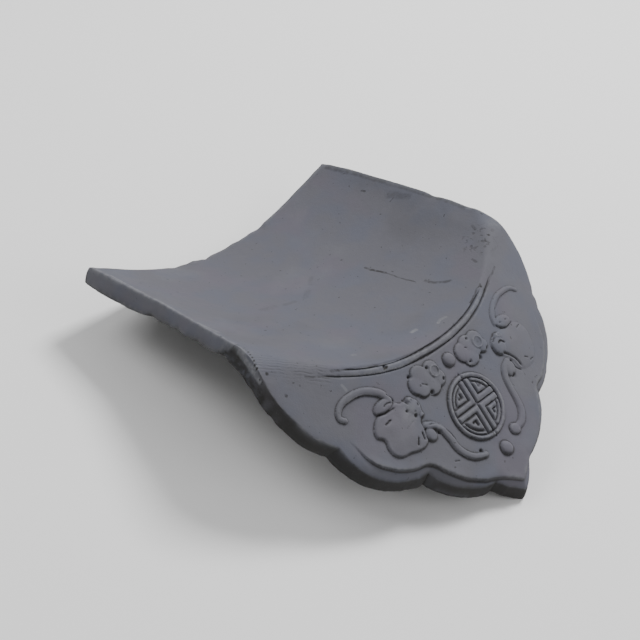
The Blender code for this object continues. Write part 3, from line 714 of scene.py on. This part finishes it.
class Side:
    """Border lines of one side of the tile: trough and plate's face, or underside and back."""

    def __init__(self, form, front):
        sizes = form.sizes
        self.form = form
        self.front = front
        self.extra = 0.0 if front else sizes.pan_thickness
        self.out = 0.0 if front else -sizes.plate_thickness
        shares = np.sin(np.linspace(-1, 1, COLUMNS + 1) * COLUMN_CROWD) / math.sin(COLUMN_CROWD)
        self.corner = self.meeting(shares)
        crease = form.face_place(self.corner)
        broad = np.abs(shares)[:, None]
        setback = sizes.nose_crisp + (sizes.nose_broad - sizes.nose_crisp) * broad ** NOSE_POWER
        if not front:
            setback = np.full_like(broad, sizes.heel_fillet)
        right = half_outline(crease[-1], setback[-1, 0], 0.0 if front else sizes.plate_draft)
        lean = (right[-1] - crease[-1]) / setback[-1]
        leaning = broad ** LEAN_POWER
        sides = np.column_stack((np.sign(shares), np.ones(len(shares))))
        down = (1 - leaning) * (0.0, -1.0) + leaning * lean * sides
        start = crease + down * setback
        self.outline = np.vstack((right[:0:-1] * (-1, 1), right))
        self.plate_border = np.vstack((self.outline, start[-2:0:-1]))
        self.crease = crease
        pan_front = self.corner[:, 1] + setback[:, 0]
        self.front_line = np.column_stack((self.across(shares, pan_front), pan_front))
        back = np.full(len(shares), sizes.pan_length)
        self.back_line = np.column_stack((self.across(shares, back), back))
        edge = np.linspace(pan_front[-1], sizes.pan_length, EDGE_STEPS + 1)
        self.right_edge = np.column_stack((self.across(1.0, edge), edge))
        self.pan_border = np.vstack((self.front_line, self.right_edge[1:-1], self.back_line[::-1],
                                     self.right_edge[-2:0:-1] * (-1, 1)))

    def across(self, share, y):
        """Place across the tile of a share of the trough's arc at y."""
        reach = self.form.section(y)[2] + self.extra
        edge = self.form.top_edge(y) if self.front else self.form.under_edge(y)
        return reach * np.sin(share * np.arcsin(edge / reach))

    def pan(self, places):
        """Points of the trough or the underside over places in plan."""
        x, y = np.asarray(places).T
        radius = self.form.section(y)[2]
        return np.column_stack((x, y, radius - np.sqrt((radius + self.extra) ** 2 - x * x)))

    def meeting(self, shares):
        """Where lines at shares of the trough's arc run into the plate's face or back."""
        y = np.zeros(len(shares))
        for _ in range(MEETING_TURNS):
            point = self.pan(np.column_stack((self.across(shares, y), y)))
            lean = point[:, 2] * self.form.sin - point[:, 1] * self.form.cos
            y = y + (lean - self.form.sweep(point[:, 0]) - self.out) / self.form.cos
        return point

    def plate(self, places):
        height = self.relief(places) * MM if self.front else 0.0
        return self.form.on_plate(places, self.out + height)

    def relief(self, places):
        """Heights of the relief, in millimetres, over places on the plate's face."""
        return draw_plate(places / MM, self.outline / MM, self.crease / MM)


class Skin:
    """Collects the corners and triangles of the tile."""

    def __init__(self):
        self.points = []
        self.faces = []
        self.count = 0

    def add(self, points, faces):
        self.points.append(points)
        self.faces.append(faces + self.count)
        self.count += len(points)

    def sheet(self, border, spots, surface):
        """Triangles between a closed border and the spots inside it, laid on a surface.

        The border's own points on that surface are handed back.
        """
        flat = np.vstack((border, spots))
        edges = [(i, (i + 1) % len(border)) for i in range(len(border))]
        result = delaunay_2d_cdt([Vector(spot) for spot in flat / MM], edges, [], 1, 1e-5)
        first = np.array([origin[0] for origin in result[3]])
        points = surface(flat)
        self.add(points, first[np.array(result[2])])
        return points[:len(border)]

    def strip(self, rows):
        """Triangles between neighbouring rows of points."""
        width = len(rows[0])
        corner = (np.arange(len(rows) - 1)[:, None] * width + np.arange(width - 1)).ravel()
        near = np.column_stack((corner, corner + 1, corner + width + 1))
        far = np.column_stack((corner, corner + width + 1, corner + width))
        self.add(np.vstack(rows), np.vstack((near, far)))


def lattice(low, high, step):
    """Rows of evenly spaced spots, every other row shifted by half a step."""
    rows = np.arange(low[1], high[1], step * math.sqrt(0.75))
    x, y = np.meshgrid(np.arange(low[0], high[0], step), rows)
    return x + step / 2 * (np.arange(len(y)) % 2)[:, None], y


def loose(spots, border, gap):
    """Which spots lie inside a border and off it by a gap."""
    within = inside(spots, border)
    line = border[::2]
    within[within] = nearest(spots[within], np.vstack((line, line[:1])))[0] > gap
    return within


def plain_spots(border, step):
    x, y = lattice(border.min(axis=0), border.max(axis=0), step)
    spots = np.column_stack((x.ravel(), y.ravel()))
    return spots[loose(spots, border, 0.55 * step)]


def relief_spots(side, step):
    """Spots of the plate's face, close together only where the relief rises or falls."""
    x, y = lattice(side.plate_border.min(axis=0), side.plate_border.max(axis=0), step)
    spots = np.column_stack((x.ravel(), y.ravel()))
    kept = loose(spots, side.plate_border, 0.6 * step)
    height = np.zeros(x.size)
    height[kept] = side.relief(spots[kept])
    height = height.reshape(x.shape)
    shifts = ((1, 0), (-1, 0), (1, 1), (-1, 1))
    change = np.max([np.abs(height - np.roll(height, *shift)) for shift in shifts], axis=0)
    change = np.max([np.roll(change, *shift) for shift in shifts], axis=0)
    row, column = np.indices(x.shape)
    coarse = (row % 2 == 0) & ((column + row // 2) % 2 == 0)
    return spots[kept & ((change > RELIEF_CHANGE) | coarse).ravel()]


def mould(form):
    """Corners and triangles of the whole tile, in the roof axes."""
    skin = Skin()
    rims = []
    backs = []
    for front in (True, False):
        side = Side(form, front)
        if front:
            spots = relief_spots(side, form.sizes.fine_step)
        else:
            spots = plain_spots(side.plate_border, BACK_STEP)
        border = skin.sheet(side.plate_border, spots, side.plate)
        rim = border[:len(side.outline)]
        start = np.vstack((rim[:1], border[:len(rim) - 1:-1], rim[-1:]))
        pan = side.pan(side.front_line)
        nose = np.array([start * (1 - t) ** 2 + side.corner * 2 * t * (1 - t) + pan * t * t
                         for t in even(NOSE_ROWS)])
        skin.strip(nose)
        spots = plain_spots(side.pan_border, PAN_STEP if front else BACK_STEP)
        skin.sheet(side.pan_border, spots, side.pan)
        left, right = (np.vstack((side.pan(side.right_edge * (hand, 1))[:0:-1], nose[:0:-1, column]))
                       for hand, column in ((-1, 0), (1, -1)))
        rims.append(np.vstack((left, rim, right[::-1])))
        backs.append(side.pan(side.back_line))
    for top, under in (rims, backs):
        skin.strip([top + (under - top) * share for share in WALL_SHARES])
    return np.vstack(skin.points), np.vstack(skin.faces)


def set_down(form, points):
    """Stand the tile on its drip tip and back edge, with the middle of its box over the origin."""
    back = np.array((0.0, form.sizes.pan_length, -form.sizes.pan_thickness))
    tip = form.on_plate([Side(form, False).outline.min(axis=0) * (0, 1)], -form.sizes.plate_thickness)[0]
    tilt = math.atan2(back[2] - tip[2], back[1] - tip[1])
    sin, cos = math.sin(tilt), math.cos(tilt)
    x, y, z = points.T
    stood = np.column_stack((x, y * cos + z * sin, z * cos - y * sin))
    low, high = stood.min(axis=0), stood.max(axis=0)
    return stood - (0.0, (low[1] + high[1]) / 2, low[2] + form.sizes.ground_wear)


def round_back(form, points):
    """Round off the arrises of the back edge."""
    radius = BACK_ROUNDING
    x, y, z = points.T
    rise = z - form.section(y)[2]
    reach = form.section(y)[2]
    far = np.hypot(x, rise)
    depth = np.clip(far - reach, 0, form.sizes.pan_thickness)
    inward = radius - (form.sizes.pan_length - y)
    toward = np.where(depth < form.sizes.pan_thickness / 2, radius - depth,
                      depth - form.sizes.pan_thickness + radius)
    corner = np.hypot(inward, toward)
    cut = (inward > 0) & (toward > 0) & (corner > radius)
    share = np.where(cut, radius / np.maximum(corner, radius), 1.0)
    moved = np.where(depth < form.sizes.pan_thickness / 2, 1, -1) * toward * (1 - share)
    longer = (far + moved) / far
    y = np.where(cut, y - inward * (1 - share), y)
    return np.column_stack((x * np.where(cut, longer, 1), y, reach + rise * np.where(cut, longer, 1)))


def knock(points):
    """Pull and press the clay where the tile was knocked, and step the joint of pan and plate."""
    for path, reach, shift in KNOCKS:
        path = np.array(path) * MM
        gap = nearest(points, path)[0] if len(path) > 1 else np.linalg.norm(points - path[0], axis=1)
        points = points + smooth(1 - gap / (reach * MM))[:, None] * np.array(shift) * MM
    low = np.maximum(JOINT_HEIGHT - points[:, 2], 0)
    past = JOINT_PLACE + JOINT_SLANT * np.minimum(low, JOINT_SLANTED) - points[:, 1]
    share = smooth(past / (1.4 * MM)) * smooth(1 - past / JOINT_REACH) * smooth((low + 2 * MM) / (5 * MM))
    points[:, 0] += JOINT_DEPTH * share * smooth((-points[:, 0] / MM - JOINT_SIDE) / 2.5)
    return points


def neighbour_mean(values, edges):
    """Mean of each corner's neighbours."""
    one, other = edges.T
    count = np.bincount(edges.ravel(), minlength=len(values))[:, None]
    total = [np.bincount(one, column[other], len(values)) + np.bincount(other, column[one], len(values))
             for column in values.T]
    return np.column_stack(total) / count


def edge_mean(spans, edges, count):
    """Mean of the spans of each corner's edges."""
    total = np.bincount(edges.ravel(), np.repeat(spans, 2), count)
    return total / np.bincount(edges.ravel(), minlength=count)


def vectors_of(rows, name):
    values = np.empty(len(rows) * 3, np.float32)
    rows.foreach_get(name, values)
    return values.reshape(-1, 3).astype(float)


def corners_of(mesh):
    return vectors_of(mesh.vertices, "co")


def normals_of(mesh):
    return vectors_of(mesh.vertex_normals, "vector")


def put_corners(mesh, points):
    mesh.vertices.foreach_set("co", points.astype(np.float32).ravel())
    mesh.update()


def edges_of(mesh):
    edges = np.empty(len(mesh.edges) * 2, np.int32)
    mesh.edges.foreach_get("vertices", edges)
    return edges.reshape(-1, 2)


def keep_on(mesh, name, values):
    """Keep a number for each corner, under the name that the clay's material reads."""
    kept = mesh.attributes.new(name, "FLOAT", "POINT")
    kept.data.foreach_set("value", values.astype(np.float32).ravel())


def wear_arrises(mesh):
    """Rub down the sharp outward corners, as handling and weather do."""
    edges = edges_of(mesh)
    for _ in range(WEAR_TURNS):
        points = corners_of(mesh)
        toward = neighbour_mean(points, edges) - points
        span = np.hypot.reduce(points[edges[:, 0]] - points[edges[:, 1]], axis=1)[:, None]
        sharp = -(toward * normals_of(mesh)).sum(axis=1) / edge_mean(span, edges, len(points))
        put_corners(mesh, points + toward * (EASE * smooth((sharp - 0.08) / 0.2))[:, None])


def make_uneven(mesh):
    """Hand-made unevenness, from broad swells to the grain of the clay."""
    points, normals = corners_of(mesh), normals_of(mesh)
    swell = np.array([sum(rise * noise.noise(Vector(point) * scale) for scale, rise in UNEVENNESS)
                      for point in points])
    swell *= 1 + EDGE_RAGGED * smooth((0.55 - normals[:, 2]) / 0.4)
    points += normals * swell[:, None]
    put_corners(mesh, np.clip(points, *CAD_BOUNDS))


def mark_wear_and_shade(mesh):
    """Keep how far each corner stands out of or lies below its surroundings, and faces down; the last two
    darken the clay as painted shade.
    """
    points, edges = corners_of(mesh), edges_of(mesh)
    eased = points
    for _ in range(EASE_TURNS):
        eased = eased + EASE * (neighbour_mean(eased, edges) - eased)
    proud = ((points - eased) * normals_of(mesh)).sum(axis=1) / MM
    keep_on(mesh, "rub", smooth((proud - 0.05) / 0.30))
    # Painted shade in recesses: darker the deeper a corner lies below its surroundings.
    keep_on(mesh, "hollow", smooth((-proud - 0.05) / 0.26))
    # Painted shade on the sides that face down.
    under = smooth((0.46 - normals_of(mesh)[:, 2:]) / 0.28)
    for _ in range(UNDER_TURNS):
        under = neighbour_mean(under, edges)
    keep_on(mesh, "under", under)


class Wire:
    """A socket of a shader, with arithmetic that adds its Math nodes."""

    def __init__(self, nodes, socket):
        self.nodes = nodes
        self.socket = socket

    def node(self, kind, settings=None, output=0, **values):
        """Any node: its settings first, then the values or links of its sockets."""
        node = self.nodes.new("ShaderNode" + kind)
        for name, value in (settings or {}).items():
            setattr(node, name, value)
        for name, value in values.items():
            key = int(name[1:]) if name[0] == "_" else name.replace("_", " ")
            if isinstance(value, Wire):
                self.nodes.id_data.links.new(value.socket, node.inputs[key])
            else:
                node.inputs[key].default_value = value
        return Wire(self.nodes, node.outputs[output])

    def math(self, operation, first, second=0.0):
        return self.node("Math", {"operation": operation}, _0=first, _1=second)

    def __add__(self, other):
        return self.math("ADD", self, other)

    def __mul__(self, other):
        return self.math("MULTIPLY", self, other)

    def __sub__(self, other):
        return self.math("SUBTRACT", self, other)

    def __rsub__(self, other):
        return self.math("SUBTRACT", other, self)

    __radd__ = __add__
    __rmul__ = __mul__

    def between(self, low, high):
        """0 below low and 1 above high, smoothly."""
        return self.node("MapRange", {"interpolation_type": "SMOOTHSTEP"},
                         Value=self, From_Min=low, From_Max=high)

    def tint(self, other, share):
        """This colour, changed to a plain one by a share."""
        return self.node("Mix", {"data_type": "RGBA"}, 2, _0=share, _6=self, _7=(*other, 1.0))

    def vector(self, operation, *values, output=0):
        sockets = {f"_{i}": value for i, value in enumerate(values)}
        return self.node("VectorMath", {"operation": operation}, output, **sockets)

    def gap_to(self, points):
        """How far this place is from a line through points, or from one spot."""
        if len(points) == 1:
            return self.vector("DISTANCE", self, points[0], output=1)
        nearest_gap = None
        for start, end in zip(points, points[1:]):
            along = Vector(end) - Vector(start)
            offset = self.vector("SUBTRACT", self, start)
            share = self.vector("DOT_PRODUCT", offset, tuple(along / along.length_squared), output=1)
            held = self.node("Clamp", Value=share)
            foot = self.node("VectorMath", {"operation": "SCALE"}, 0, _0=tuple(along), Scale=held)
            gap = self.vector("DISTANCE", offset, foot, output=1)
            nearest_gap = gap if nearest_gap is None else self.math("MINIMUM", nearest_gap, gap)
        return nearest_gap


def flat(points):
    """Points of a mark in millimetres, with heights counted for less."""
    return [(x, y, z * MARK_FLATTENING) for x, y, z in points]


def clay_material(finish):
    """Unglazed grey clay: cloudy, worn on its arrises, with painted shade in hollows and below, marked
    and pitted.
    """
    material = bpy.data.materials.new("fired_clay")
    material.use_nodes = True
    tree = material.node_tree
    shader = tree.nodes["Principled BSDF"]
    place = Wire(tree.nodes, tree.nodes.new("ShaderNodeTexCoord").outputs["Object"])

    def cloud(scale, detail=3.0, rough=0.55):
        return place.node("TexNoise", Vector=place, Scale=scale, Detail=detail, Roughness=rough)

    def toned(*shares):
        return [part * share for part, share in zip(finish.body, shares)]

    # The hollow and under numbers darken the clay as painted shade.
    rub, hollow, under = (place.node("Attribute", {"attribute_name": name}, 2)
                          for name in ("rub", "hollow", "under"))
    in_mm = place.vector("MULTIPLY", place, (1 / MM, 1 / MM, MARK_FLATTENING / MM))
    stray = place.node("TexNoise", None, 1, Vector=place, Scale=220.0, Detail=2.0)
    shaken = in_mm.vector("ADD", in_mm, in_mm.vector("MULTIPLY", stray, (1.6, 1.6, 0.4)))
    marked = shaken.vector("SUBTRACT", shaken, (0.8, 0.8, 0.2))
    patchy = cloud(330.0).between(0.36, 0.58)
    pits = cloud(420.0, 2.0, 0.5).between(0.70, 0.76)
    grain = cloud(1400.0, 2.0, 0.6)

    def mark(points, full, gone):
        """1 within a distance of a line or spot, 0 from a farther one on."""
        return 1 - marked.gap_to(flat(points)).between(full, gone)

    def marks(listed):
        total = None
        for points, width, strength in listed:
            one = mark(points, width * 0.45, width * 1.35) * strength
            total = one if total is None else total.math("MAXIMUM", total, one)
        return total * (patchy * 0.6 + 0.4)

    def ripple(source, pull):
        return in_mm.math("SINE", in_mm.vector("DOT_PRODUCT", source, pull, output=1))

    dark, light = marks(DARK_MARKS_AND_SHADE), marks(PALE_MARKS_AND_HIGHLIGHTS)
    stitches = mark(STITCHES, 0.3, 0.9) * ripple(in_mm, (0.5, 3.2, 0.0)).between(-0.4, 0.5) * patchy
    scraped = mark(SCRAPES, 1.5, 8.0) * patchy
    ribs = ripple(marked, (2.4, 3.4, 0.0))
    pecked = mark(PECKED, 5.0, 14.0) * cloud(360.0, 1.5).between(0.56, 0.68)
    clay = place.node("Mix", {"data_type": "RGBA"}, 2, _0=cloud(38.0, 2.0).between(0.40, 0.64),
                      _6=(*finish.body, 1.0), _7=(*toned(0.95, 0.985, 1.05), 1.0))
    for tone, share in (
        (toned(1.05, 0.985, 1.03), cloud(31.0, 2.0).between(0.50, 0.70) * 0.7),
        (finish.rubbed_and_highlight, cloud(24.0, 4.0).between(0.52, 0.75) * 0.16),
        (finish.soot_and_shade, cloud(17.0, 4.0).between(0.46, 0.26) * 0.14),
        (finish.rubbed_and_highlight, rub * (patchy * 0.5 + 0.15)),
        # Painted shade in recesses and on the sides that face down.
        (finish.soot_and_shade, hollow * 0.8),
        (finish.soot_and_shade, under * 0.9),
        (finish.soot_and_shade, pits.math("MAXIMUM", pits, pecked * 0.7) * 0.5),
        (finish.rubbed_and_highlight, grain.between(0.60, 0.80) * 0.22),
        # Pale marks with painted highlights, and dark marks with painted shade.
        (finish.rubbed_and_highlight, light),
        (finish.soot_and_shade, dark),
        (finish.soot_and_shade, stitches * 0.85),
        (finish.soot_and_shade, scraped * ribs.between(0.2, 1.0) * 0.28),
    ):
        clay = clay.tint(tone, share)
    rough = (grain - 0.5) * 0.2 + finish.roughness - rub * 0.10
    height = grain * 0.35 + cloud(240.0, 4.0, 0.6) - pits * 0.8 - pecked
    height = height - dark * 1.2 - stitches - scraped * ribs * 0.3
    bump = place.node("Bump", Strength=0.35, Distance=0.0005, Height=height)
    for name, wire in (("Base Color", clay), ("Roughness", rough), ("Normal", bump)):
        tree.links.new(wire.socket, shader.inputs[name])
    shader.inputs["Specular IOR Level"].default_value = finish.sheen
    return material


def deselect_all():
    for obj in bpy.context.selected_objects:
        obj.select_set(False)


class DRIPTILE_OT_mould_tile(bpy.types.Operator):
    """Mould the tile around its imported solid, with its relief, wear and finish"""
    bl_idname = "drip_tile.mould_tile"
    bl_label = "Mould the tile"

    def execute(self, context):
        form = Form(context.scene.drip_tile_sizes)
        points, faces = mould(form)
        mesh = bpy.data.meshes.new("moulded_tile")
        mesh.from_pydata(knock(set_down(form, round_back(form, points))).tolist(), [], faces.tolist())
        tile = bpy.data.objects.new("moulded_tile", mesh)
        context.scene.collection.objects.link(tile)
        deselect_all()
        tile.select_set(True)
        context.view_layer.objects.active = tile
        bpy.ops.object.mode_set(mode="EDIT")
        bpy.ops.mesh.select_all(action="SELECT")
        bpy.ops.mesh.remove_doubles(threshold=WELD)
        bpy.ops.mesh.normals_make_consistent(inside=False)
        bpy.ops.object.mode_set(mode="OBJECT")
        wear_arrises(mesh)
        make_uneven(mesh)
        mark_wear_and_shade(mesh)
        bpy.ops.object.shade_smooth_by_angle(angle=SMOOTH_ANGLE)
        mesh.materials.append(clay_material(context.scene.drip_tile_finish))
        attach(tile, "root")
        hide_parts(NODE)
        return {"FINISHED"}


def plain_material(name, shade, roughness):
    material = bpy.data.materials.new(name)
    material.use_nodes = True
    shader = material.node_tree.nodes["Principled BSDF"]
    shader.inputs["Base Color"].default_value = (*shade, 1.0)
    shader.inputs["Roughness"].default_value = roughness
    return material


def add_lamp(name, place, aim, size, power):
    bpy.ops.object.light_add(type="AREA", location=place)
    lamp = bpy.context.object
    lamp.name = name
    lamp.rotation_euler = (Vector(aim) - Vector(place)).to_track_quat("-Z", "Y").to_euler()
    lamp.data.size = size
    lamp.data.energy = power


class DRIPTILE_OT_set_stage(bpy.types.Operator):
    """Lay the pale floor, hang the soft lights and place the camera of the photograph"""
    bl_idname = "drip_tile.set_stage"
    bl_label = "Set the stage"

    def execute(self, context):
        stage = context.scene.drip_tile_stage
        deselect_all()
        bpy.ops.mesh.primitive_plane_add(size=FLOOR_SIZE)
        floor = context.object
        floor.name = "floor"
        floor.data.materials.append(plain_material("pale_floor", stage.floor, 0.9))
        for name, (place, aim, size) in LAMPS.items():
            add_lamp(f"{name}_light", place, aim, size, getattr(stage, name))
        world = context.scene.world or bpy.data.worlds.new("World")
        context.scene.world = world
        world.use_nodes = True
        background = world.node_tree.nodes["Background"]
        background.inputs["Color"].default_value = (1.0, 1.0, 1.0, 1.0)
        background.inputs["Strength"].default_value = stage.sky
        bpy.ops.object.camera_add(location=stage.camera_place, rotation=stage.camera_turn)
        camera = context.object
        camera.data.sensor_width = FRAME_WIDTH
        camera.data.lens = stage.lens
        camera.data.clip_start = 0.01
        context.scene.camera = camera
        return {"FINISHED"}


class DRIPTILE_PT_panel(bpy.types.Panel):
    """Sizes, finish and stage of the drip tile"""
    bl_idname = "DRIPTILE_PT_panel"
    bl_label = "Drip tile"
    bl_space_type = "VIEW_3D"
    bl_region_type = "UI"
    bl_category = "Drip tile"

    def draw(self, context):
        scene = context.scene
        for group in (scene.drip_tile_sizes, scene.drip_tile_finish, scene.drip_tile_stage):
            box = self.layout.box()
            for name in group.__annotations__:
                box.prop(group, name)
        for operator in (DRIPTILE_OT_mould_tile, DRIPTILE_OT_set_stage):
            self.layout.operator(operator.bl_idname)


CLASSES = (TileSizes, ClayFinish, StageSettings, DRIPTILE_OT_mould_tile, DRIPTILE_OT_set_stage,
           DRIPTILE_PT_panel)


def register():
    for cls in CLASSES:
        bpy.utils.register_class(cls)
    bpy.types.Scene.drip_tile_sizes = bpy.props.PointerProperty(type=TileSizes)
    bpy.types.Scene.drip_tile_finish = bpy.props.PointerProperty(type=ClayFinish)
    bpy.types.Scene.drip_tile_stage = bpy.props.PointerProperty(type=StageSettings)


def unregister():
    for name in ("drip_tile_sizes", "drip_tile_finish", "drip_tile_stage"):
        delattr(bpy.types.Scene, name)
    for cls in reversed(CLASSES):
        bpy.utils.unregister_class(cls)


def main():
    register()
    bpy.ops.drip_tile.mould_tile()
    bpy.ops.drip_tile.set_stage()


if __name__ == "__main__":
    main()
